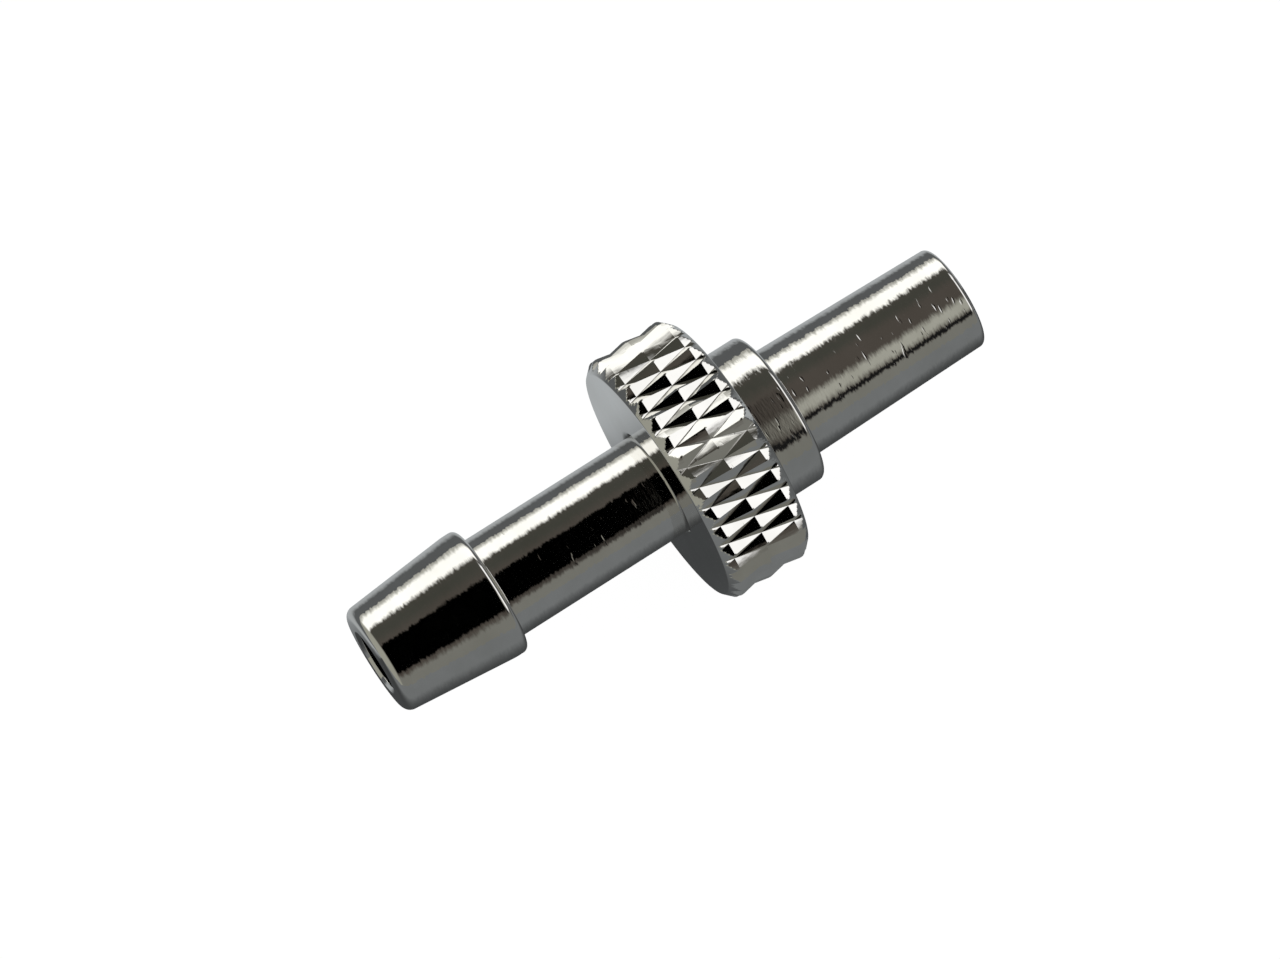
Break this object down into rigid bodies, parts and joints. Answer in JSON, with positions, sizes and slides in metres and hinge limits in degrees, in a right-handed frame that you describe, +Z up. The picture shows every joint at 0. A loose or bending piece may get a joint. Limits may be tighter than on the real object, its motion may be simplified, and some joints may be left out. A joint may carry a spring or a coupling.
{
  "type": "barbed hose connector",
  "caption": "Small nickel-plated hose connector: barbed tail that swivels in a collared, tapered push-in nose, held by a knurled union nut.",
  "frame": {"origin": "on the common axis, in the collar's front face, where the nose stops in its socket", "axes": "+X along the axis towards the tip of the nose, -X towards the hose barb, +Z up"},
  "size_m": [0.0251, 0.01, 0.01],
  "materials": {
    "nickel": "polished",
    "spring_steel": "satin",
    "slip_plastic": "matte",
    "seal_rubber": "satin"
  },
  "bodies": {
    "nose": {"nose_body": "nickel"},
    "nut_follower": {"nut_washer": "slip_plastic"},
    "nut": {"union_nut": "nickel"},
    "tail": {"hose_tail": "nickel", "retaining_ring": "spring_steel", "nose_washer": "slip_plastic", "o_ring": "seal_rubber"}
  },
  "joints": [
    {"name": "nut_travel", "type": "slide", "parent": "nose", "child": "nut_follower", "axis": [-1, 0, 0], "range_m": [0, 0.00175]},
    {"name": "nut_turn", "type": "hinge", "parent": "nut_follower", "child": "nut", "pos_m": [0, 0, 0], "axis": [-1, 0, 0], "range_deg": [0, 1260]},
    {"name": "tail_swivel", "type": "hinge", "parent": "nose", "child": "tail", "pos_m": [0, 0, 0], "axis": [1, 0, 0], "continuous": true}
  ],
  "couplings": [
    {"joint": "nut_turn", "follows": "nut_travel", "rad_per_m": 12566}
  ]
}
